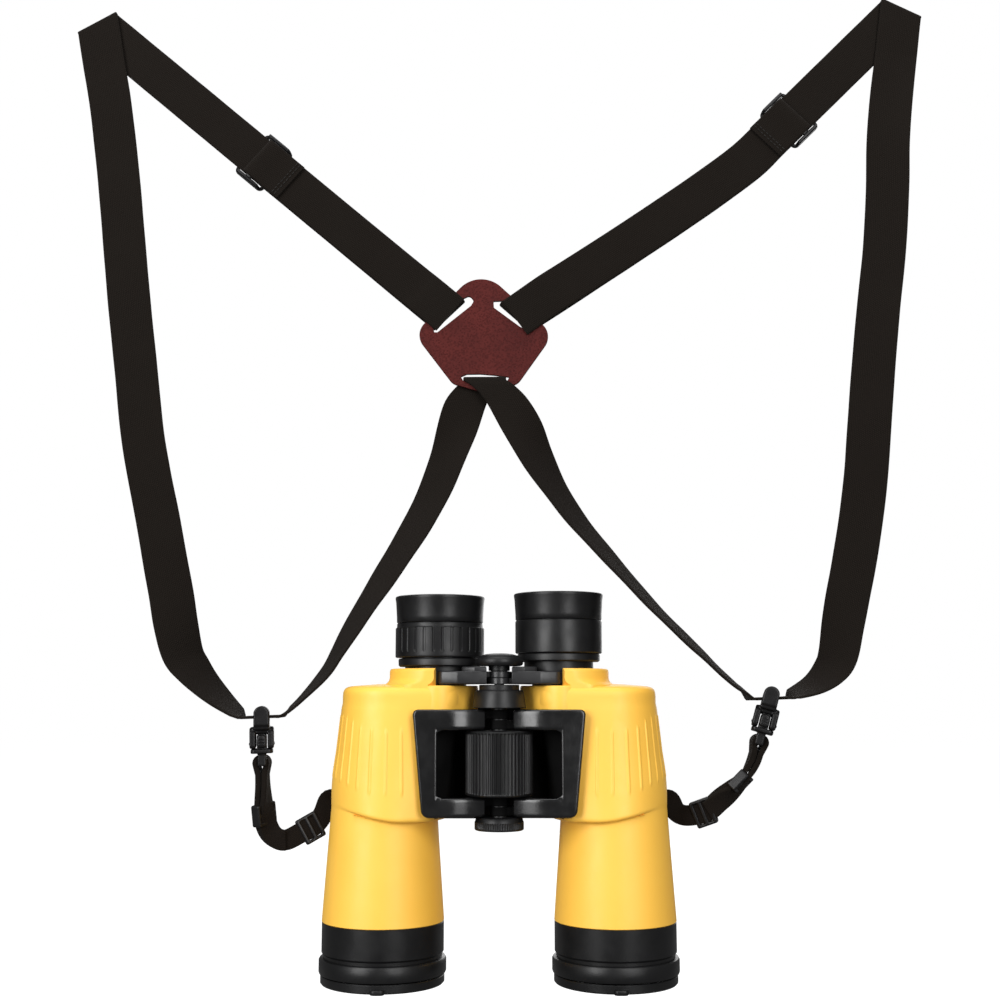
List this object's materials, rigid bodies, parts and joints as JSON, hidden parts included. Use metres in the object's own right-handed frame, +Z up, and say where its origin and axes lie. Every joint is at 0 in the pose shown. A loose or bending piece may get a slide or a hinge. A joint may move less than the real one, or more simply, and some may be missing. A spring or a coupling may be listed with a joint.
{
  "type": "binocular harness",
  "caption": "Crossed elastic shoulder harness with a leather back patch, sliders and quick-release buckles, carrying a porro-prism binocular with centre focus.",
  "frame": {"origin": "midway between the tops of the two shoulder folds, where the harness hangs", "axes": "+Z up, +X to the right seen from the front, -Y the front, which the focus wheel faces"},
  "size_m": [0.4707, 0.072, 0.529],
  "materials": {
    "leather": "grainy reddish-brown leather",
    "webbing": "fine woven elastic, matt",
    "buckle_plastic": "moulded, satin",
    "black_rubber": "moulded rubber, matt",
    "black_paint": "satin black",
    "yellow_armour": "moulded rubber armour, satin",
    "glass": "coated"
  },
  "bodies": {
    "harness": {"back_patch": "leather", "shoulder_strap_left": "webbing", "shoulder_strap_right": "webbing", "chest_strap_left": "webbing", "chest_strap_right": "webbing", "stitched_loop_left": "webbing", "stitched_loop_right": "webbing"},
    "slider_left": {"slider_left": "buckle_plastic"},
    "slider_right": {"slider_right": "buckle_plastic"},
    "carrier": {"strap_bight_left": "webbing", "strap_bight_right": "webbing", "buckle_socket_left": "buckle_plastic", "buckle_socket_right": "buckle_plastic", "connector_upper_left": "webbing", "connector_upper_right": "webbing", "connector_lower_left": "webbing", "connector_lower_right": "webbing", "upper_adjuster_left": "buckle_plastic", "upper_adjuster_right": "buckle_plastic", "lower_adjuster_left": "buckle_plastic", "lower_adjuster_right": "buckle_plastic", "hinge_shaft": "black_paint", "tripod_socket": "black_paint"},
    "plug_left": {"buckle_plug_left": "buckle_plastic"},
    "plug_right": {"buckle_plug_right": "buckle_plastic"},
    "prong_front_left": {"prong_front_left": "buckle_plastic"},
    "prong_back_left": {"prong_back_left": "buckle_plastic"},
    "prong_front_right": {"prong_front_right": "buckle_plastic"},
    "prong_back_right": {"prong_back_right": "buckle_plastic"},
    "half_left": {"prism_housing_left": "yellow_armour", "prisms_left": "glass", "hinge_frame_left": "black_paint", "barrel_left": "yellow_armour", "objective_collar_left": "black_rubber", "objective_lens_left": "glass", "cover_ring_left": "black_rubber", "strap_lug_left": "buckle_plastic"},
    "half_right": {"prism_housing_right": "yellow_armour", "prisms_right": "glass", "hinge_frame_right": "black_paint", "barrel_right": "yellow_armour", "objective_collar_right": "black_rubber", "objective_lens_right": "glass", "cover_ring_right": "black_rubber", "strap_lug_right": "buckle_plastic"},
    "cover_left": {"lens_cover_left": "black_rubber"},
    "cover_right": {"lens_cover_right": "black_rubber"},
    "focus_wheel": {"focus_wheel": "black_rubber"},
    "bridge": {"bridge_hub": "black_paint"},
    "arm_left": {"bridge_arm_left": "black_paint", "eyepiece_left": "black_paint"},
    "arm_right": {"bridge_arm_right": "black_paint", "eyepiece_right": "black_paint", "eyepiece_sleeve": "black_rubber", "eye_lens_right": "glass"},
    "dioptre_ring": {"dioptre_ring": "black_rubber"},
    "ocular_left": {"eye_lens_left": "glass"},
    "cup_left": {"eyecup_left": "black_rubber"},
    "cup_right": {"eyecup_right": "black_rubber"}
  },
  "joints": [
    {"name": "carrier_swing", "type": "hinge", "parent": "harness", "child": "carrier", "pos_m": [0.00885, 0, -0.38595], "axis": [0.9994, 0, 0.0359], "range_deg": [-45, 45]},
    {"name": "slider_left_slide", "type": "slide", "parent": "harness", "child": "slider_left", "axis": [-0.7627, 0, 0.6468], "range_m": [-0.06, 0.05], "deforming": ["stitched_loop_left"]},
    {"name": "slider_right_slide", "type": "slide", "parent": "harness", "child": "slider_right", "axis": [0.7071, 0, 0.7071], "range_m": [-0.024, 0.03], "deforming": ["stitched_loop_right"]},
    {"name": "half_left_hinge", "type": "hinge", "parent": "carrier", "child": "half_left", "pos_m": [0, -0.0177, -0.413], "axis": [0, 0, 1], "range_deg": [-10, 6], "deforming": ["connector_upper_left", "connector_upper_right", "connector_lower_left", "connector_lower_right"]},
    {"name": "half_right_hinge", "type": "hinge", "parent": "carrier", "child": "half_right", "pos_m": [0, -0.0177, -0.413], "axis": [0, 0, 1], "range_deg": [-6, 10], "deforming": ["connector_upper_left", "connector_upper_right", "connector_lower_left", "connector_lower_right"]},
    {"name": "focus_wheel_turn", "type": "hinge", "parent": "carrier", "child": "focus_wheel", "pos_m": [0, -0.0177, -0.413], "axis": [0, 0, 1], "range_deg": [0, 181]},
    {"name": "bridge_slide", "type": "slide", "parent": "carrier", "child": "bridge", "axis": [0, 0, 1], "range_m": [0, 0.0045]},
    {"name": "arm_left_hinge", "type": "hinge", "parent": "bridge", "child": "arm_left", "pos_m": [0, -0.0177, -0.3707], "axis": [0, 0, 1], "range_deg": [-10, 6]},
    {"name": "arm_right_hinge", "type": "hinge", "parent": "bridge", "child": "arm_right", "pos_m": [0, -0.0177, -0.3707], "axis": [0, 0, 1], "range_deg": [-6, 10]},
    {"name": "dioptre_turn", "type": "hinge", "parent": "arm_left", "child": "dioptre_ring", "pos_m": [-0.031, 0, -0.351], "axis": [0, 0, 1], "range_deg": [-60, 60]},
    {"name": "ocular_left_slide", "type": "slide", "parent": "arm_left", "child": "ocular_left", "axis": [0, 0, 1], "range_m": [-0.0009, 0.0009]},
    {"name": "eyecup_left_pull", "type": "slide", "parent": "arm_left", "child": "cup_left", "axis": [0, 0, 1], "range_m": [0, 0.007]},
    {"name": "eyecup_right_pull", "type": "slide", "parent": "arm_right", "child": "cup_right", "axis": [0, 0, 1], "range_m": [0, 0.007]},
    {"name": "cover_left_flip", "type": "hinge", "parent": "half_left", "child": "cover_left", "pos_m": [-0.059, 0.035, -0.5173], "axis": [1, 0, 0], "range_deg": [0, 150]},
    {"name": "cover_right_flip", "type": "hinge", "parent": "half_right", "child": "cover_right", "pos_m": [0.059, 0.035, -0.5173], "axis": [1, 0, 0], "range_deg": [0, 150]},
    {"name": "plug_left_slide", "type": "slide", "parent": "carrier", "child": "plug_left", "axis": [0.0349, 0, -0.9994], "range_m": [0, 0.012], "deforming": ["connector_upper_left"]},
    {"name": "prong_front_left_squeeze", "type": "hinge", "parent": "plug_left", "child": "prong_front_left", "pos_m": [-0.1226, -0.0079, -0.40799], "axis": [-0.9994, 0, -0.0349], "range_deg": [0, 5], "stiffness_Nm_per_rad": 0.05},
    {"name": "prong_back_left_squeeze", "type": "hinge", "parent": "plug_left", "child": "prong_back_left", "pos_m": [-0.1226, 0.0079, -0.40799], "axis": [0.9994, 0, 0.0349], "range_deg": [0, 5], "stiffness_Nm_per_rad": 0.05},
    {"name": "plug_right_slide", "type": "slide", "parent": "carrier", "child": "plug_right", "axis": [-0.2756, 0, -0.9613], "range_m": [0, 0.012], "deforming": ["connector_upper_right"]},
    {"name": "prong_front_right_squeeze", "type": "hinge", "parent": "plug_right", "child": "prong_front_right", "pos_m": [0.13613, -0.0079, -0.39783], "axis": [-0.9613, 0, 0.2756], "range_deg": [0, 5], "stiffness_Nm_per_rad": 0.05},
    {"name": "prong_back_right_squeeze", "type": "hinge", "parent": "plug_right", "child": "prong_back_right", "pos_m": [0.13613, 0.0079, -0.39783], "axis": [0.9613, 0, -0.2756], "range_deg": [0, 5], "stiffness_Nm_per_rad": 0.05}
  ],
  "couplings": [
    {"joint": "half_right_hinge", "follows": "half_left_hinge", "ratio": -1},
    {"joint": "arm_left_hinge", "follows": "half_left_hinge", "ratio": 1},
    {"joint": "arm_right_hinge", "follows": "half_left_hinge", "ratio": -1},
    {"joint": "focus_wheel_turn", "follows": "bridge_slide", "rad_per_m": 698.13},
    {"joint": "ocular_left_slide", "follows": "dioptre_turn", "m_per_rad": 0.00085}
  ]
}
